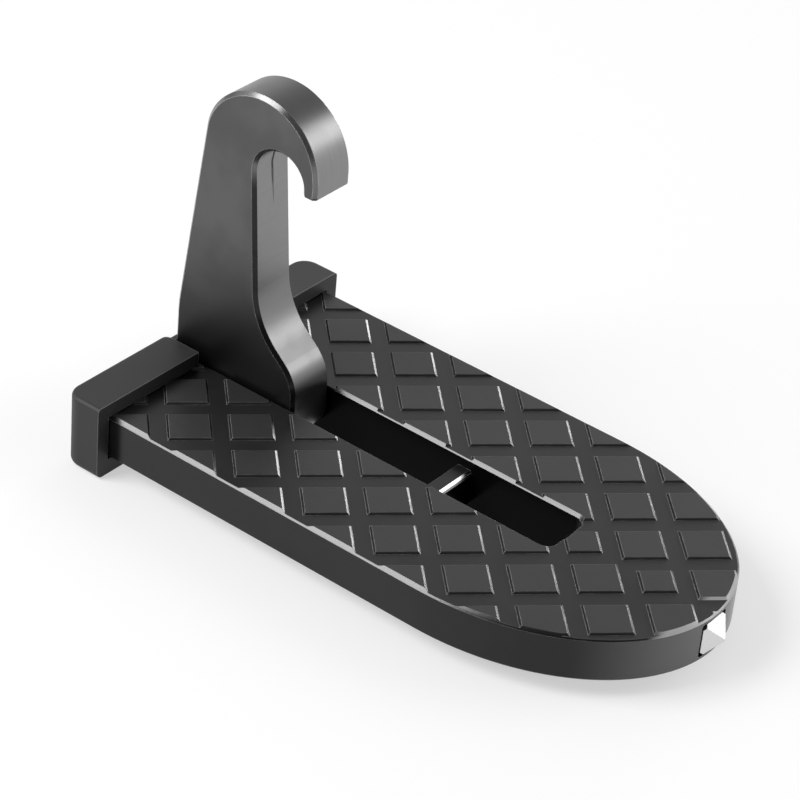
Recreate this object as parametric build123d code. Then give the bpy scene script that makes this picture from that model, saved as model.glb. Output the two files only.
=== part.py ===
"""Folding car door step: a cast pedal with a fold-down latch hook, a rubber bumper and a hammer tip.

Millimetres. x runs from the bumper's rear face (which leans on the car body) to the hammer tip,
y across the pedal, z up from the plane that the step stands on. The finished pieces are moved back
by half the overall length, so the origin is the bottom centre of the whole step.
"""
from build123d import *
from math import sqrt
import os

# Overall form of the pedal
overall_length = 171.8
tread_width = 85.0
tread_thickness = 12.4
tread_bottom = 4.7
tread_rear = 3.7
nose_start = 111.2
nose_reach = 57.0
rim_bevel = 0.4
bottom_bevel = 0.7

# Anti-slip pads: squares set at 45 degrees on a lattice, mirrored about the centre line
pad_pitch = 15.7
pad_side = 10.8
pad_height = 0.5
pad_slope = 0.6
pad_draft = 50
pad_rear_gap = 0.1
lattice_x = 10.2
lattice_y = -20.33
groove_rows = range(-3, 10)

# Slot for the folded hook, the cross bar that ties its walls and the floor under the hook's heel
slot_width = 15.4
slot_end = 124.5
slot_corner = 3.0
slot_bevel = 0.3
slot_lip_rear = 13.0
slot_lip_bottom = 3.0
bar_rear = 84.9
bar_front = 89.5
bar_drop = 2.8
bar_bevel = 1.0
heel_floor_front = 22.0
heel_floor_top = 10.8

# Hollow underside
deck_thickness = 3.6
outer_wall = 3.5
slot_wall = 3.3
rib_thickness = 2.4
rib_pitch = 17.2
rib_first = 19.0
rib_count = 9
long_rib_y = 25.0

# Pivot pin and the saddles that hold it
pivot_x = 33.8
pivot_z = 11.9
pin_radius = 3.0
pin_length = 30.0
pin_end_bevel = 0.6
pin_seat_play = 0.02
pin_hook_play = 0.06
saddle_mouth = 4.4
saddle_boss_length = 15.0
saddle_boss_reach = 18.0

# Latch hook: a cast blade, outlined from the side, that thins a little towards its crown
hook_heel_thickness = 14.6
hook_crown_thickness = 13.2
hook_bevel = 0.95
hook_rear = 1.8
heel_bottom = 10.9
heel_round = 1.5
rear_bend_z = 31.1
rear_bend_round = 40.0
rear_lean = 0.12
crown_x = 26.2
crown_z = 82.8
crown_radius = 18.3
crown_blend = 15.5
tip_bottom = 79.1
tip_round = 0.9
throat_x = 32.6
throat_z = 80.2
throat_radius = 7.6
shank_foot = (28.5, 37.2)
toe_corner = (42.5, 24.9)
shank_blend = 22.0
toe_blend = 12.0
foot_bottom = 4.9
foot_blend = 2.0
seam_depth = 0.45
seam_width = 0.8
seam_end = 68.0

# Rubber bumper: a boot stretched over the rear of the pedal
bumper_depth = 12.0
bumper_width = 93.6
bumper_height = 21.4
bumper_corner = 5.0
bumper_top_round = 1.2
bumper_bottom_round = 2.0
bumper_lead_in = 0.8
bumper_lead_angle = 26
hook_notch_width = 18.4
notch_corner = 3.0
rear_web = 1.5
rear_web_top = 19.2

# Hammer tip: a hardened square point with a round stud pressed into the nose
tip_axis_z = 11.0
tip_half = 4.5
tip_corner_cut = 1.2
tip_seat_x = 161.8
tip_base_x = 168.0
stud_radius = 3.0
stud_length = 11.7
stud_bore_depth = 12.0
stud_boss_half = 6.5
stud_end_bevel = 0.5
tip_play = 0.45
tip_pocket_corner = 1.0

tread_top = tread_bottom + tread_thickness
deck_underside = tread_top - deck_thickness
slot_half = slot_width / 2
throat_rear = throat_x - throat_radius
throat_front = throat_x + throat_radius
crown_top = crown_z + crown_radius
tip_outer = crown_x + crown_radius
foot_radius = toe_corner[0] - pivot_x

low_x = (Align.MIN, Align.CENTER)
low_corner = (Align.MIN, Align.MIN)
low_x_low_z = (Align.MIN, Align.CENTER, Align.MIN)
low_x_high_z = (Align.MIN, Align.CENTER, Align.MAX)


def pedal_outline(inset):
    """Plan of the pedal, drawn in from its edge: straight sides and a half-ellipse nose."""
    half = tread_width / 2 - inset
    rear = tread_rear + inset
    sides = Polyline((nose_start, half), (rear, half), (rear, -half), (nose_start, -half))
    nose = EllipticalCenterArc((nose_start, 0), nose_reach - inset, half, -90, arc_size=180)
    return make_face(sides + nose)


def slot_outline(widen=0.0):
    """Plan of the slot, open at the rear, with rounded corners at its front end."""
    slot = Rectangle(slot_end + widen, slot_width + 2 * widen, align=low_x)
    front = slot.vertices().group_by(Axis.X)[-1]
    return fillet(front, slot_corner + widen)


def groove_cutter():
    """One long groove between two rows of pads, wider at its mouth than at its floor."""
    floor_half = (pad_pitch - pad_side - pad_slope) / 2
    mouth = 2 * pad_height
    mouth_half = floor_half + 2 * pad_slope
    section = Polygon((-floor_half, 0), (floor_half, 0), (mouth_half, mouth), (-mouth_half, mouth))
    return extrude(Plane.XZ * section, amount=overall_length, both=True)


def near_pads():
    """Pads on the near half: a slab with sloping edges, cut into squares by crossing grooves."""
    deck = Pos(0, 0, tread_top)
    slab = extrude(deck * pedal_outline(rim_bevel), amount=pad_height, taper=pad_draft)
    slab -= extrude(deck * slot_outline(slot_bevel), amount=2 * pad_height, taper=-pad_draft)
    near_side = (Align.MIN, Align.MAX, Align.CENTER)
    near_half = Box(overall_length, tread_width / 2, 4 * pad_height, align=near_side)
    pads = slab & (Pos(bumper_depth + pad_rear_gap, 0, tread_top) * near_half)
    groove = groove_cutter()
    for row in groove_rows:
        shift = (row + (1 + pad_side / pad_pitch) / 2) * pad_pitch / sqrt(2)
        for turn in (1, -1):
            place = Pos(lattice_x + shift, lattice_y + turn * shift, tread_top)
            pads -= place * Rot(0, 0, 45 * turn) * groove
    return pads


def rib_plan():
    """Plan of the metal left standing between the pockets of the underside."""
    slot_rim = Rectangle(slot_end + slot_wall, slot_width + 2 * slot_wall, align=low_x)
    plan = slot_rim + Pos(slot_end, 0) * Rectangle(tread_width, rib_thickness, align=low_x)
    for side in (1, -1):
        plan += Pos(0, side * long_rib_y) * Rectangle(overall_length, rib_thickness, align=low_x)
    for row in range(rib_count):
        plan += Pos(rib_first + row * rib_pitch, 0) * Rectangle(rib_thickness, tread_width)
    plan += Pos(pivot_x, 0) * Rectangle(saddle_boss_length, 2 * saddle_boss_reach)
    boss_rear = tip_seat_x - stud_bore_depth - rib_thickness
    plan += Pos(boss_rear, 0) * Rectangle(tread_width, 2 * stud_boss_half, align=low_x)
    return plan


def cut_underside(body):
    """Sink the pockets, leaving the outer wall, the slot's walls, the ribs and the bosses."""
    pockets = pedal_outline(outer_wall) - rib_plan()
    return body - extrude(Pos(0, 0, tread_bottom) * pockets, amount=deck_underside - tread_bottom)


def slot_lip():
    """Lip round the slot, which carries its walls a little below the rest of the underside."""
    length = slot_end + slot_wall - slot_lip_rear
    drop = tread_bottom - slot_lip_bottom
    lip = Box(length, slot_width + 2 * slot_wall, drop, align=low_x_low_z)
    return Pos(slot_lip_rear, 0, slot_lip_bottom) * lip


def cut_slot(body):
    """Open the slot through the pedal, with a fine bevel along its upper rim."""
    body -= extrude(slot_outline(), amount=2 * tread_top)
    rim = Pos(0, 0, tread_top - slot_bevel) * slot_outline()
    return body - extrude(rim, amount=2 * slot_bevel, taper=-45)


def cross_bar():
    """Bar across the slot, set below the deck, with a bevel along its upper front edge."""
    top = tread_top - bar_drop
    section = Polygon(
        (bar_rear, tread_bottom),
        (bar_front, tread_bottom),
        (bar_front, top - bar_bevel),
        (bar_front - bar_bevel, top),
        (bar_rear, top),
    )
    return extrude(Plane.XZ * section, amount=slot_half, both=True)


def heel_floor():
    """Floor between the slot's walls at the rear, which the hook's heel rests on."""
    length = heel_floor_front - tread_rear
    floor = Box(length, slot_width, heel_floor_top - tread_bottom, align=low_x_low_z)
    return Pos(tread_rear, 0, tread_bottom) * floor


def pin_seat():
    """Bore and open mouth of the two saddles, which the pin is pushed into from below."""
    length = pin_length + 2 * pin_seat_play
    bore = Rot(90, 0, 0) * Cylinder(pin_radius + pin_seat_play, length)
    mouth = Box(saddle_mouth, length, pivot_z, align=(Align.CENTER, Align.CENTER, Align.MAX))
    return Pos(pivot_x, 0, pivot_z) * (bore + mouth)


def tip_facing():
    """Plane across the nose at the seat of the hammer tip, facing forwards."""
    return Plane((tip_seat_x, 0, tip_axis_z), x_dir=(0, 1, 0), z_dir=(1, 0, 0))


def tip_socket():
    """Square recess in the nose for the hammer tip's head, and the bore for its stud."""
    side = 2 * (tip_half + tip_play)
    square = RectangleRounded(side, side, tip_pocket_corner)
    bore = extrude(tip_facing() * Circle(stud_radius + pin_seat_play), amount=-stud_bore_depth)
    return extrude(tip_facing() * square, amount=stud_bore_depth) + bore


def make_pedal():
    body = extrude(Pos(0, 0, tread_bottom) * pedal_outline(0), amount=tread_thickness)
    body = chamfer(body.faces().sort_by(Axis.Z)[-1].edges(), rim_bevel)
    body = chamfer(body.faces().sort_by(Axis.Z)[0].edges(), bottom_bevel)
    body = cut_underside(body) + slot_lip()
    body = cut_slot(body)
    body += cross_bar() + heel_floor()
    body -= pin_seat()
    body -= tip_socket()
    pads = near_pads()
    return body + pads + mirror(pads, about=Plane.XZ)


def round_corner(outline, corner, radius):
    """Round the corner of a plan or side view that lies nearest to the given point."""
    vertex = outline.vertices().sort_by_distance(corner)[0]
    return fillet(vertex, radius)


def hook_outline():
    """Side view of the hook. The tip is left long here and is cut flat after the bevelling."""
    rear_top = hook_rear + rear_lean * (crown_top - rear_bend_z)
    envelope = Polygon(
        (hook_rear, heel_bottom),
        (tip_outer, heel_bottom),
        (tip_outer, crown_top),
        (rear_top, crown_top),
        (hook_rear, rear_bend_z),
    )
    shank = Polygon(
        (0, heel_bottom),
        (pivot_x, heel_bottom),
        (toe_corner[0], pivot_z),
        toe_corner,
        shank_foot,
        (throat_rear, throat_z),
        (throat_rear, crown_z),
        (0, crown_z),
    )
    crown = Pos(crown_x, crown_z) * Circle(crown_radius)
    crown &= Pos(0, throat_z) * Rectangle(overall_length, crown_radius + throat_z, align=low_corner)
    tip_low = 2 * tip_bottom - crown_z - hook_bevel
    tip_size = (tip_outer - throat_front, crown_z - tip_low)
    tip = Pos(throat_front, tip_low) * Rectangle(*tip_size, align=low_corner)
    outline = envelope & (shank + crown + tip)
    outline -= Pos(throat_x, throat_z) * Circle(throat_radius)
    outline = round_corner(outline, (hook_rear, rear_bend_z, 0), rear_bend_round)
    outline = round_corner(outline, (crown_x - crown_radius, crown_top, 0), crown_blend)
    outline = round_corner(outline, (*shank_foot, 0), shank_blend)
    outline = round_corner(outline, (*toe_corner, 0), toe_blend)
    outline = round_corner(outline, (hook_rear, heel_bottom, 0), heel_round)
    foot = Pos(pivot_x, pivot_z) * Circle(foot_radius)
    foot &= Pos(0, foot_bottom) * Rectangle(overall_length, pivot_z, align=low_corner)
    return round_corner(outline + foot, (pivot_x - foot_radius, heel_bottom, 0), foot_blend)


def throat_seam():
    """Thin parting groove along the middle of the throat, fading out down the shank's front."""
    lean = (shank_foot[0] - throat_rear) / (throat_z - shank_foot[1])
    seam_foot = throat_rear + lean * (throat_z - seam_end)
    arch = Pos(throat_x, throat_z) * Circle(throat_radius + seam_depth)
    upper_left = Rectangle(2 * throat_radius, 2 * throat_radius, align=(Align.MAX, Align.MIN))
    arch &= Pos(throat_x, throat_z) * upper_left
    tail = Polygon(
        (throat_rear - seam_depth, throat_z),
        (seam_foot, seam_end),
        (throat_x, seam_end),
        (throat_x, throat_z),
    )
    return extrude(Plane.XZ * (arch + tail), amount=seam_width / 2, both=True)


def near_bevel_plane():
    """Plane where the near side's bevel starts. It leans inwards, so the blade thins upwards."""
    lean = (hook_heel_thickness - hook_crown_thickness) / 2 / (crown_top - heel_bottom)
    foot_y = hook_bevel - hook_heel_thickness / 2 - lean * heel_bottom
    return Plane((0, foot_y, 0), x_dir=(1, 0, 0), z_dir=(0, -1, lean))


def make_hook():
    """Two mirrored halves, each with a bevelled side, then the flat tip, the bore and the seam."""
    side = near_bevel_plane() * hook_outline()
    half = split(extrude(side, amount=hook_heel_thickness, dir=(0, 1, 0)), Plane.XZ)
    half += extrude(side, amount=hook_bevel, taper=45)
    hook = half + mirror(half, about=Plane.XZ)
    below_tip = Box(2 * throat_radius, 2 * hook_heel_thickness, crown_radius, align=low_x_high_z)
    hook -= Pos(throat_x, 0, tip_bottom) * below_tip
    hook = fillet(hook.faces().filter_by(Axis.Z).sort_by(Axis.Z)[-1].edges(), tip_round)
    bore = Cylinder(pin_radius + pin_hook_play, 2 * hook_heel_thickness)
    hook -= Pos(pivot_x, 0, pivot_z) * Rot(90, 0, 0) * bore
    return hook - throat_seam()


def bumper_cavity():
    """Hollow that the pedal's rear fills, with a flared mouth."""
    height = tread_thickness
    cavity = Box(bumper_depth, tread_width, height, align=low_x_low_z)
    cavity = Pos(tread_rear, 0, tread_bottom) * cavity
    centre_z = tread_bottom + height / 2
    mouth = Plane((bumper_depth - bumper_lead_in, 0, centre_z), x_dir=(0, 1, 0), z_dir=(1, 0, 0))
    flare = extrude(mouth * Rectangle(tread_width, height), amount=bumper_depth, taper=-bumper_lead_angle)
    return cavity + flare


def hook_notch():
    """Gap in the boot's upper flap for the hook, down to the heel floor, with a thin wall behind."""
    half = hook_notch_width / 2
    gap = Box(bumper_depth, hook_notch_width, bumper_height, align=low_x_low_z)
    gap = Pos(rear_web, 0, heel_floor_top) * gap
    plan = Rectangle(bumper_depth, hook_notch_width, align=low_x)
    for side in (1, -1):
        plan += Pos(0, side * half) * Rectangle(notch_corner, 2 * notch_corner, align=low_x)
    for side in (1, -1):
        plan -= Pos(notch_corner, side * (half + notch_corner)) * Circle(notch_corner)
    return gap + extrude(Pos(0, 0, rear_web_top) * plan, amount=bumper_height)


def make_bumper():
    """Boot with rounded outer corners, hollow for the pedal's rear and notched for the hook."""
    boot = Box(bumper_depth, bumper_width, bumper_height, align=low_x_low_z)
    rear_edges = boot.edges().filter_by(Axis.Z).group_by(Axis.X)[0]
    boot = fillet(rear_edges, bumper_corner)
    top_edges = boot.faces().sort_by(Axis.Z)[-1].edges()
    boot = fillet(top_edges - top_edges.group_by(Axis.X)[-1], bumper_top_round)
    bottom_edges = boot.faces().sort_by(Axis.Z)[0].edges()
    boot = fillet(bottom_edges - bottom_edges.group_by(Axis.X)[-1], bumper_bottom_round)
    return boot - bumper_cavity() - hook_notch()


def make_pin():
    pin = Rot(90, 0, 0) * Cylinder(pin_radius, pin_length)
    pin = chamfer(pin.edges().filter_by(GeomType.CIRCLE), pin_end_bevel)
    return Pos(pivot_x, 0, pivot_z) * pin


def make_hammer_tip():
    """Square head with cut corners that ends in a low pyramid, on a round stud."""
    facing = tip_facing()
    square = Rectangle(2 * tip_half, 2 * tip_half)
    head = extrude(facing * square, amount=tip_base_x - tip_seat_x)
    apex = Vertex(overall_length, 0, tip_axis_z)
    head += loft([facing.offset(tip_base_x - tip_seat_x) * square, apex])
    cut_square = chamfer(square.vertices(), tip_corner_cut)
    head &= extrude(facing * cut_square, amount=overall_length - tip_seat_x)
    stud = extrude(facing * Circle(stud_radius), amount=-stud_length)
    stud = chamfer(stud.edges().group_by(Axis.X)[0], stud_end_bevel)
    return head + stud


def main():
    os.makedirs("parts", exist_ok=True)
    shift = Pos(-overall_length / 2, 0, 0)
    pieces = {
        "pedal": make_pedal(),
        "latch_hook": make_hook(),
        "pivot_pin": make_pin(),
        "bumper": make_bumper(),
        "hammer_tip": make_hammer_tip(),
    }
    for name, piece in pieces.items():
        export_step(shift * piece, f"parts/{name}.step")


main()
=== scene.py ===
"""Folding car door step, dressed and lit: cast pedal, latch hook, rubber bumper and hammer tip."""
import math

import bpy
from mathutils import Matrix, Vector

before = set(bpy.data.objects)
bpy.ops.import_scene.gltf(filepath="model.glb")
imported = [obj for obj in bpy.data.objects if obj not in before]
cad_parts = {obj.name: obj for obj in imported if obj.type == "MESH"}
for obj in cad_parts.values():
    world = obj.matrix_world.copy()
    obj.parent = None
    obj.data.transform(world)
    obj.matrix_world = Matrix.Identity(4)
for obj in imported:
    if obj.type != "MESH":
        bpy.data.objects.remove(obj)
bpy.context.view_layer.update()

# Pedal: one aluminium die-casting with its pads, grooves and ribs cast in, and a satin black powder coat.
# The coat has a fine orange peel, softens every edge and is rubbed on the pads. Every edge is painted
# lighter as a highlight and is rubbed bare in patches. The rims near the tip are lighter, partly worn and
# partly a painted highlight, and the slopes' edges that face the rear or lie near the tip carry a
# near-white painted highlight. The nose's upright faces are painted lighter as a highlight. Inside the
# slot the walls are painted black and matt as shade, and only the cross bar's upper bevel is machined
# bare.
MM = 0.001
PEDAL_EDGE_RADIUS = 0.18 * MM
PAD_RISE = (17.3 * MM, 17.5 * MM)
BAR_BEVEL_TOP = (14.8 * MM, 14.5 * MM)
BAR_BEVEL_FOOT = (13.6 * MM, 13.8 * MM)
SLOT_HALF_WIDTH = (7.9 * MM, 7.8 * MM)
SLOT_END = (38.8 * MM, 38.6 * MM)
RIM_NEAR_TIP_START = (75.5 * MM, 78.5 * MM)
NOSE_HIGHLIGHT_START = (74 * MM, 84 * MM)
POLISHED_NOSE_START = (62 * MM, 80 * MM)
PEEL_DEPTH = 0.004 * MM


def add(tree, kind, **settings):
    """A new shader node of the given kind, with its settings."""
    node = tree.nodes.new("ShaderNode" + kind)
    for name, value in settings.items():
        setattr(node, name, value)
    return node


def feed(tree, socket, value):
    """Set a socket to a plain value, or link it to another node's output."""
    if isinstance(value, bpy.types.NodeSocket):
        tree.links.new(value, socket)
    else:
        socket.default_value = value


def work_out(tree, operation, first, second=0.0):
    """The result of one Math node."""
    node = add(tree, "Math", operation=operation)
    feed(tree, node.inputs[0], first)
    feed(tree, node.inputs[1], second)
    return node.outputs[0]


def both(tree, first, second):
    """The product of two masks, or of a mask and the share of it that is wanted."""
    return work_out(tree, "MULTIPLY", first, second)


def ease(tree, value, start, end, low=0.0, high=1.0):
    """A value eased from low to high while another one goes from start to end."""
    node = add(tree, "MapRange", interpolation_type="SMOOTHSTEP")
    feed(tree, node.inputs["Value"], value)
    for name, number in (("From Min", start), ("From Max", end), ("To Min", low), ("To Max", high)):
        node.inputs[name].default_value = number
    return node.outputs["Result"]


def split_axes(tree, vector):
    """The X, Y and Z of a place or of a direction."""
    node = add(tree, "SeparateXYZ")
    feed(tree, node.inputs[0], vector)
    return node.outputs


def speckle(tree, place, scale, detail=2.0, stretch=(1, 1, 1)):
    """Noise over a place in metres, drawn out along any axis that has a small stretch number."""
    spread = add(tree, "Mapping")
    feed(tree, spread.inputs["Vector"], place)
    spread.inputs["Scale"].default_value = stretch
    noise = add(tree, "TexNoise")
    feed(tree, noise.inputs["Vector"], spread.outputs["Vector"])
    noise.inputs["Scale"].default_value = scale
    noise.inputs["Detail"].default_value = detail
    return noise.outputs["Fac"]


def blend_tone(tree, factor, first, second):
    """One tone or another, as the factor goes from 0 to 1."""
    node = add(tree, "Mix", data_type="RGBA")
    feed(tree, node.inputs[0], factor)
    feed(tree, node.inputs[6], first)
    feed(tree, node.inputs[7], second)
    return node.outputs[2]


def blend_value(tree, factor, first, second):
    """One number or another, as the factor goes from 0 to 1."""
    node = add(tree, "Mix", data_type="FLOAT")
    feed(tree, node.inputs[0], factor)
    feed(tree, node.inputs[2], first)
    feed(tree, node.inputs[3], second)
    return node.outputs[0]


def grey(level, warmth=0.0):
    """A grey as a colour, a little warmer where warmth is above zero and cooler where it is below."""
    return (level * (1 + warmth), level, level * (1 - warmth), 1.0)


def new_finish(name):
    """A material with its Principled shader, and the place on the object that its patterns read."""
    finish = bpy.data.materials.new(name)
    finish.use_nodes = True
    tree = finish.node_tree
    place = add(tree, "TexCoord").outputs["Object"]
    return finish, tree, tree.nodes["Principled BSDF"], place


def look_at_facing(tree):
    """The X, Y and Z of the direction that each face of the piece has, in the piece's own axes."""
    return split_axes(tree, add(tree, "TexCoord").outputs["Normal"])


def raise_bump(tree, shader, height, depth, normal):
    """Turn a height pattern into relief of the given depth in metres on top of the softened edges."""
    bump = add(tree, "Bump")
    bump.inputs["Strength"].default_value = 1.0
    bump.inputs["Distance"].default_value = depth
    feed(tree, bump.inputs["Height"], height)
    feed(tree, bump.inputs["Normal"], normal)
    feed(tree, shader.inputs["Normal"], bump.outputs["Normal"])


def new_group(name, inputs, outputs):
    """An empty node group whose sockets have the given names, types and first values."""
    group = bpy.data.node_groups.new(name, "ShaderNodeTree")
    for socket_name, kind, value in inputs:
        socket = group.interface.new_socket(socket_name, in_out="INPUT", socket_type=kind)
        if value is not None:
            socket.default_value = value
    for socket_name, kind in outputs:
        group.interface.new_socket(socket_name, in_out="OUTPUT", socket_type=kind)
    return group, group.nodes.new("NodeGroupInput"), group.nodes.new("NodeGroupOutput")


def place_group(tree, group, **values):
    """The outputs of a node group that is placed in a material with the given values."""
    node = add(tree, "Group", node_tree=group)
    for name, value in values.items():
        feed(tree, node.inputs[name], value)
    return node.outputs


soft_edges, given, result = new_group(
    "soft_edges",
    [
        ("Place", "NodeSocketVector", None),
        ("Radius", "NodeSocketFloat", 0.2 * MM),
        ("Patches", "NodeSocketFloat", 300.0),
    ],
    [("Normal", "NodeSocketVector"), ("Edge", "NodeSocketFloat"), ("Wear", "NodeSocketFloat")],
)
rounding = add(soft_edges, "Bevel", samples=4)
feed(soft_edges, rounding.inputs["Radius"], given.outputs["Radius"])
turn = add(soft_edges, "VectorMath", operation="DOT_PRODUCT")
feed(soft_edges, turn.inputs[0], rounding.outputs["Normal"])
feed(soft_edges, turn.inputs[1], add(soft_edges, "NewGeometry").outputs["True Normal"])
edge = ease(soft_edges, turn.outputs["Value"], 0.998, 0.9)
patches = add(soft_edges, "TexNoise")
feed(soft_edges, patches.inputs["Vector"], given.outputs["Place"])
feed(soft_edges, patches.inputs["Scale"], given.outputs["Patches"])
patches.inputs["Detail"].default_value = 4.0
rubbed_and_highlight = ease(soft_edges, patches.outputs["Fac"], 0.42, 0.62)
feed(soft_edges, result.inputs["Normal"], rounding.outputs["Normal"])
feed(soft_edges, result.inputs["Edge"], edge)
feed(soft_edges, result.inputs["Wear"], both(soft_edges, edge, rubbed_and_highlight))

orange_peel, given, result = new_group(
    "orange_peel",
    [("Place", "NodeSocketVector", None), ("Scale", "NodeSocketFloat", 1500.0)],
    [("Height", "NodeSocketFloat"), ("Cloud", "NodeSocketFloat")],
)
pimples = add(orange_peel, "TexNoise")
feed(orange_peel, pimples.inputs["Vector"], given.outputs["Place"])
feed(orange_peel, pimples.inputs["Scale"], given.outputs["Scale"])
pimples.inputs["Detail"].default_value = 3.0
cloud = speckle(orange_peel, given.outputs["Place"], 60.0, 3.0)
feed(orange_peel, result.inputs["Height"], pimples.outputs["Fac"])
feed(orange_peel, result.inputs["Cloud"], ease(orange_peel, cloud, 0.35, 0.65))

pedal_coat, tree, coat, place = new_finish("pedal_powder_coat")
edges = place_group(tree, soft_edges, Place=place, Radius=PEDAL_EDGE_RADIUS, Patches=260.0)
peel = place_group(tree, orange_peel, Place=place, Scale=1700.0)
spot = split_axes(tree, place)
facing = look_at_facing(tree)

on_pads = ease(tree, spot["Z"], *PAD_RISE)
scuffs = ease(tree, speckle(tree, place, 900.0, 4.0, (0.25, 1.0, 1.0)), 0.5, 0.72)
sloping = both(tree, ease(tree, facing["Z"], 0.4, 0.6), ease(tree, facing["Z"], 0.96, 0.88))
upright = ease(tree, work_out(tree, "ABSOLUTE", facing["Z"]), 0.3, 0.1)
bar_bevel = both(tree, ease(tree, spot["Z"], *BAR_BEVEL_TOP), ease(tree, spot["Z"], *BAR_BEVEL_FOOT))
machined = both(tree, sloping, bar_bevel)
near_slot = ease(tree, work_out(tree, "ABSOLUTE", spot["Y"]), *SLOT_HALF_WIDTH)
# Painted shade: the slot's walls are coloured near black and given little shine.
painted_shade_slot_walls = both(tree, both(tree, upright, near_slot), ease(tree, spot["X"], *SLOT_END))
near_tip = ease(tree, spot["X"], *RIM_NEAR_TIP_START)
# Sloping rims near the tip are lighter, partly from wear and partly as a painted highlight.
rim_wear_and_highlight = both(tree, sloping, near_tip)
# Painted highlight: the edges of slopes that face the rear or lie near the tip are coloured near white.
facing_bumper = ease(tree, facing["X"], -0.2, -0.35)
painted_highlight_edges = both(tree, sloping, work_out(tree, "MAXIMUM", facing_bumper, near_tip))
painted_highlight_edges = both(tree, painted_highlight_edges, edges["Edge"])
# Painted highlight: the nose's upright faces are coloured lighter towards the tip.
nose_painted_highlight = both(tree, upright, ease(tree, spot["X"], *NOSE_HIGHLIGHT_START, 0.0, 0.5))

tone = blend_tone(tree, peel["Cloud"], grey(0.006, -0.02), grey(0.01, -0.02))
tone = blend_tone(tree, both(tree, on_pads, 0.6), tone, grey(0.038, 0.01))
# Painted highlight along every edge; the patchy wear on the next line is real rubbing.
tone = blend_tone(tree, both(tree, edges["Edge"], 0.6), tone, grey(0.2))
tone = blend_tone(tree, both(tree, edges["Wear"], 0.5), tone, grey(0.35))
tone = blend_tone(tree, both(tree, rim_wear_and_highlight, 0.8), tone, grey(0.55))
tone = blend_tone(tree, painted_highlight_edges, tone, grey(0.8))
tone = blend_tone(tree, nose_painted_highlight, tone, grey(0.1))
tone = blend_tone(tree, painted_shade_slot_walls, tone, grey(0.003))
feed(tree, coat.inputs["Base Color"], blend_tone(tree, machined, tone, grey(0.7)))
feed(tree, coat.inputs["Metallic"], machined)

polish = ease(tree, spot["X"], *POLISHED_NOSE_START, 0.32, 1.0)
gloss = blend_value(tree, upright, blend_value(tree, sloping, 0.5, 0.9), polish)
feed(tree, coat.inputs["Specular IOR Level"], blend_value(tree, painted_shade_slot_walls, gloss, 0.05))
dullness = blend_value(tree, peel["Cloud"], 0.31, 0.37)
dullness = blend_value(tree, both(tree, on_pads, scuffs), dullness, 0.44)
dullness = blend_value(tree, upright, dullness, 0.22)
feed(tree, coat.inputs["Roughness"], blend_value(tree, sloping, dullness, 0.25))
raise_bump(tree, coat, peel["Height"], PEEL_DEPTH, edges["Normal"])
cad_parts["pedal"].material_slots[0].material = pedal_coat

# Latch hook: cast in one piece. Its flat sides and bevels keep a satin black coat; the sides are painted
# darker towards the foot as shade, the crown's bevels lighter as a painted highlight, and the bevels
# along the front of the shank darker as painted shade. The narrow faces round the outline are brushed
# to dark metal, along the crown and across the shank, and painted darker on the crown's top and towards
# the toe as shade. The corners carry a painted highlight and are rubbed bare in patches, except along
# the front of the shank.
HOOK_EDGE_RADIUS = 0.25 * MM
CROWN_START = (74 * MM, 82 * MM)
SIDES_SHADE_FADE = (18 * MM, 62 * MM)
TOE_CURVE_SHADE = (50 * MM, 40 * MM)
TOE_FOOT_SHADE = (27 * MM, 22 * MM)
BRUSHED_DEPTH = 0.002 * MM

hook_coat, tree, coat, place = new_finish("hook_dark_metal")
edges = place_group(tree, soft_edges, Place=place, Radius=HOOK_EDGE_RADIUS, Patches=220.0)
peel = place_group(tree, orange_peel, Place=place, Scale=2200.0)
spot = split_axes(tree, place)
facing = look_at_facing(tree)

sideways = work_out(tree, "ABSOLUTE", facing["Y"])
narrow_face = ease(tree, sideways, 0.5, 0.3)
bevelled = both(tree, ease(tree, sideways, 0.97, 0.9), ease(tree, sideways, 0.45, 0.6))
on_crown = ease(tree, spot["Z"], *CROWN_START)
below_crown = ease(tree, spot["Z"], *reversed(CROWN_START))
forward = both(tree, ease(tree, facing["X"], 0.2, 0.5), below_crown)
# Painted shade: the crown's top faces are coloured darker.
crown_top_shade = both(tree, on_crown, ease(tree, facing["Z"], 0.6, 0.9, 0.0, 0.6))
along_crown = speckle(tree, place, 2600.0, 3.0, (0.02, 1.0, 0.02))
across_shank = speckle(tree, place, 2200.0, 3.0, (0.6, 0.03, 1.0))
lines = blend_value(tree, on_crown, across_shank, along_crown)
smudge = ease(tree, speckle(tree, place, 130.0, 5.0), 0.45, 0.62)

sides = blend_tone(tree, peel["Cloud"], grey(0.09, 0.01), grey(0.115, 0.01))
# Painted shade: the sides are darker towards the foot.
sides = blend_tone(tree, ease(tree, spot["Z"], *SIDES_SHADE_FADE), grey(0.02, 0.01), sides)
# Painted highlight on the crown's bevels, and painted shade on the bevels along the front of the shank.
sides = blend_tone(tree, both(tree, bevelled, on_crown), sides, grey(0.17))
sides = blend_tone(tree, both(tree, bevelled, forward), sides, grey(0.025))
brushed = blend_tone(tree, lines, grey(0.22), grey(0.27))
brushed = blend_tone(tree, crown_top_shade, brushed, grey(0.13))
# Painted shade: the narrow faces are darker towards the toe and the foot.
brushed = blend_tone(tree, ease(tree, spot["Z"], *TOE_CURVE_SHADE, 0.0, 0.5), brushed, grey(0.16))
brushed = blend_tone(tree, ease(tree, spot["Z"], *TOE_FOOT_SHADE), brushed, grey(0.12))
tone = blend_tone(tree, narrow_face, sides, brushed)
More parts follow.
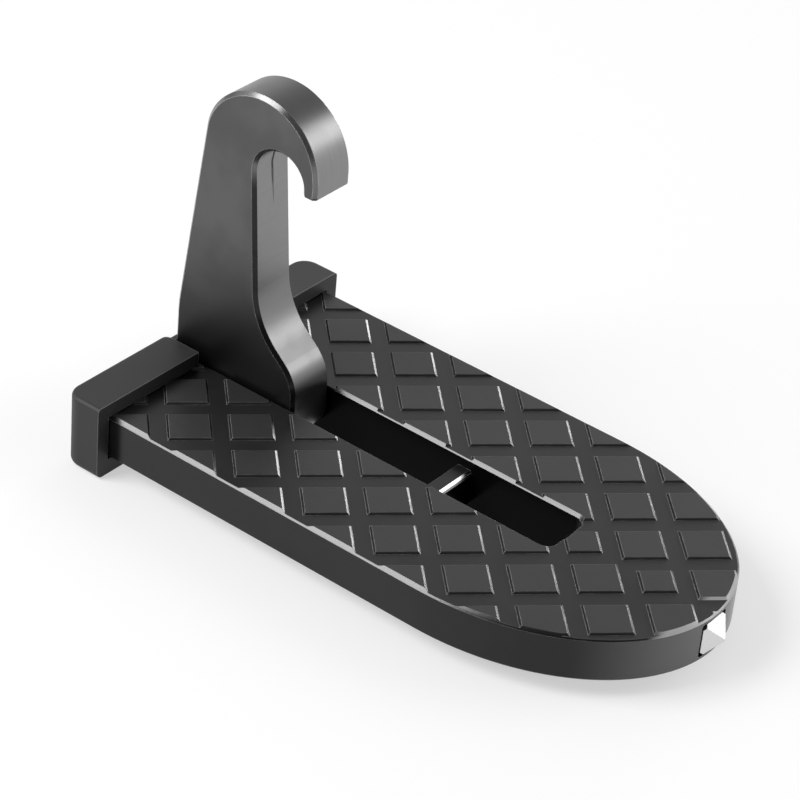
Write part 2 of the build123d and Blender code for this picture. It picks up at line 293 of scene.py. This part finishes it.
# Painted highlight along every corner except on the front of the shank; the patchy wear after it is real.
rubbed_and_highlight = blend_value(tree, forward, edges["Edge"], 0.0)
tone = blend_tone(tree, both(tree, rubbed_and_highlight, 0.6), tone, grey(0.5))
worn = blend_value(tree, forward, edges["Wear"], 0.0)
tone = blend_tone(tree, both(tree, worn, 0.6), tone, grey(0.7))
feed(tree, coat.inputs["Base Color"], tone)
feed(tree, coat.inputs["Metallic"], blend_value(tree, narrow_face, 0.8, 1.0))

dullness = blend_value(tree, lines, 0.3, 0.36)
dullness = blend_value(tree, narrow_face, 0.4, dullness)
dullness = blend_value(tree, bevelled, dullness, 0.24)
feed(tree, coat.inputs["Roughness"], blend_value(tree, both(tree, smudge, 0.2), dullness, 0.5))
relief = blend_value(tree, narrow_face, peel["Height"], lines)
raise_bump(tree, coat, relief, BRUSHED_DEPTH, edges["Normal"])
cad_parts["latch_hook"].material_slots[0].material = hook_coat

# Pivot pin: plain ground steel, pushed into its two saddles from below.
# Grinding leaves fine rings round it.
PIN_EDGE_RADIUS = 0.2 * MM
RING_DEPTH = 0.002 * MM

pin_steel, tree, steel, place = new_finish("pin_ground_steel")
edges = place_group(tree, soft_edges, Place=place, Radius=PIN_EDGE_RADIUS, Patches=500.0)
rings = speckle(tree, place, 3000.0, 2.0, (0.02, 1.0, 0.02))
steel.inputs["Metallic"].default_value = 1.0
feed(tree, steel.inputs["Base Color"], blend_tone(tree, rings, grey(0.42), grey(0.56)))
feed(tree, steel.inputs["Roughness"], blend_value(tree, rings, 0.26, 0.4))
raise_bump(tree, steel, rings, RING_DEPTH, edges["Normal"])
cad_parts["pivot_pin"].material_slots[0].material = pin_steel

# Rubber bumper: one matte moulding, stretched over the rear of the pedal so that it grips it.
# Its skin has the mould's fine texture and a faint grey bloom, which shows on top because its upright
# faces are painted blacker as shade; its edges are painted lighter as a highlight.
BUMPER_EDGE_RADIUS = 0.35 * MM
SKIN_DEPTH = 0.008 * MM

rubber, tree, skin, place = new_finish("bumper_rubber")
edges = place_group(tree, soft_edges, Place=place, Radius=BUMPER_EDGE_RADIUS, Patches=200.0)
peel = place_group(tree, orange_peel, Place=place, Scale=2600.0)
bloom = ease(tree, speckle(tree, place, 45.0, 5.0), 0.4, 0.7)
facing_up = work_out(tree, "ABSOLUTE", look_at_facing(tree)["Z"])
upright = ease(tree, facing_up, 0.5, 0.2, 0.0, 0.7)
tone = blend_tone(tree, bloom, grey(0.034, 0.01), grey(0.05, 0.02))
# Painted shade: the upright faces are coloured blacker.
tone = blend_tone(tree, upright, tone, grey(0.018, -0.02))
# Painted highlight along every edge.
tone = blend_tone(tree, both(tree, edges["Edge"], 0.8), tone, grey(0.4))
feed(tree, skin.inputs["Base Color"], tone)
feed(tree, skin.inputs["Roughness"], blend_value(tree, bloom, 0.5, 0.64))
skin.inputs["Specular IOR Level"].default_value = 0.4
raise_bump(tree, skin, peel["Height"], SKIN_DEPTH, edges["Normal"])
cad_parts["bumper"].material_slots[0].material = rubber

# Hammer tip: hardened steel with its stud pressed into the nose.
# Its facets are ground bright, with fine grinding marks across them.
TIP_EDGE_RADIUS = 0.2 * MM
GRINDING_DEPTH = 0.0006 * MM

tip_steel, tree, steel, place = new_finish("tip_bright_steel")
edges = place_group(tree, soft_edges, Place=place, Radius=TIP_EDGE_RADIUS, Patches=500.0)
grinding = speckle(tree, place, 2600.0, 3.0, (1.0, 0.03, 1.0))
steel.inputs["Metallic"].default_value = 1.0
feed(tree, steel.inputs["Base Color"], blend_tone(tree, grinding, grey(0.64), grey(0.7)))
feed(tree, steel.inputs["Roughness"], blend_value(tree, grinding, 0.24, 0.3))
raise_bump(tree, steel, grinding, GRINDING_DEPTH, edges["Normal"])
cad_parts["hammer_tip"].material_slots[0].material = tip_steel

# Studio: a plain white floor in a pale tent with a darker roof, three soft lamps and the photo's camera.
# Where the floor is looked at, also in a reflection, it glows a little to reach white, and far off it is
# plain white. The tent is darker behind the camera and at the left, where the step reflects dark things.
FLOOR_SIZE = 8
FAR_FLOOR = (0.4, 0.9)
FLOOR_GLOW = 0.54
ROOF_FADE = (0.38, 0.8, 1.0, 0.3)
CAMERA_SIDE = (0.484, -0.671, 0.562)
CAMERA_SIDE_FADE = (0.62, 0.86, 1.0, 0.1)
DARK_SCREEN = (-0.943, 0.253, 0.216)
DARK_SCREEN_FADE = (0.9, 0.96, 1.0, 0.15)
LENS_MM = 135.67
CAMERA_PLACE = (0.34835, -0.50443, 0.45353)
AZIMUTH, ELEVATION, ROLL = 35.791, 34.219, 5.329

bpy.ops.object.select_all(action="DESELECT")
bpy.ops.mesh.primitive_plane_add(size=FLOOR_SIZE)
floor = bpy.context.object
floor.name = "studio_floor"
paper, tree, sheet, place = new_finish("studio_paper")
rays = add(tree, "LightPath").outputs
looked_at = work_out(tree, "MAXIMUM", rays["Is Camera Ray"], rays["Is Glossy Ray"])
looked_at = work_out(tree, "MAXIMUM", looked_at, rays["Is Transmission Ray"])
away = add(tree, "VectorMath", operation="LENGTH")
feed(tree, away.inputs[0], place)
far_off = ease(tree, away.outputs["Value"], *FAR_FLOOR)
shown = blend_tone(tree, far_off, grey(0.5), grey(0.0))
glow = blend_value(tree, far_off, FLOOR_GLOW, 1.0)
feed(tree, sheet.inputs["Base Color"], blend_tone(tree, looked_at, grey(0.8), shown))
feed(tree, sheet.inputs["Emission Strength"], blend_value(tree, looked_at, 0.0, glow))
sheet.inputs["Emission Color"].default_value = grey(1.0)
sheet.inputs["Roughness"].default_value = 0.9
sheet.inputs["Specular IOR Level"].default_value = 0.0
floor.data.materials.append(paper)

world = bpy.data.worlds.new("studio_tent")
bpy.context.scene.world = world
world.use_nodes = True
tree = world.node_tree
sky = tree.nodes["Background"]
direction = add(tree, "TexCoord").outputs["Generated"]
tent = ease(tree, split_axes(tree, direction)["Z"], *ROOF_FADE)
for dark_side, fade in ((CAMERA_SIDE, CAMERA_SIDE_FADE), (DARK_SCREEN, DARK_SCREEN_FADE)):
    toward = add(tree, "VectorMath", operation="DOT_PRODUCT")
    feed(tree, toward.inputs[0], direction)
    toward.inputs[1].default_value = dark_side
    tent = both(tree, tent, ease(tree, toward.outputs["Value"], *fade))
by_camera = add(tree, "LightPath").outputs["Is Camera Ray"]
sky.inputs["Color"].default_value = grey(1.0)
feed(tree, sky.inputs["Strength"], blend_value(tree, by_camera, tent, 1.0))


def soft_lamp(name, heading, height, distance, size, radiance):
    """A flat lamp that faces the step from a heading and height in degrees, unseen by the camera."""
    across = math.radians(heading)
    up = math.radians(height)
    middle = Vector((0, 0, 0.04))
    offset = Vector((math.cos(across) * math.cos(up), math.sin(across) * math.cos(up), math.sin(up)))
    light = bpy.data.lights.new(name, "AREA")
    light.shape = "RECTANGLE"
    light.size, light.size_y = size
    light.energy = radiance * math.pi * size[0] * size[1]
    lamp = bpy.data.objects.new(name, light)
    bpy.context.scene.collection.objects.link(lamp)
    aim = offset.to_track_quat("Z", "Y").to_matrix().to_4x4()
    lamp.matrix_world = Matrix.Translation(middle + offset * distance) @ aim
    lamp.visible_camera = False


soft_lamp("front_left_box", 227, 43, 1.3, (0.72, 0.68), 7.5)
soft_lamp("right_rear_box", 50, 29, 1.3, (0.7, 0.55), 2.8)
soft_lamp("rear_strip", 100, 5, 1.3, (0.5, 0.29), 9.0)

camera_data = bpy.data.cameras.new("photo_camera")
camera_data.lens = LENS_MM
camera = bpy.data.objects.new("photo_camera", camera_data)
bpy.context.scene.collection.objects.link(camera)
turn = Matrix.Rotation(math.radians(AZIMUTH), 4, "Z")
tilt = Matrix.Rotation(math.radians(90 - ELEVATION), 4, "X")
roll = Matrix.Rotation(math.radians(ROLL), 4, "Z")
camera.matrix_world = Matrix.Translation(CAMERA_PLACE) @ turn @ tilt @ roll
bpy.context.scene.camera = camera
bpy.context.scene.view_settings.view_transform = "Standard"
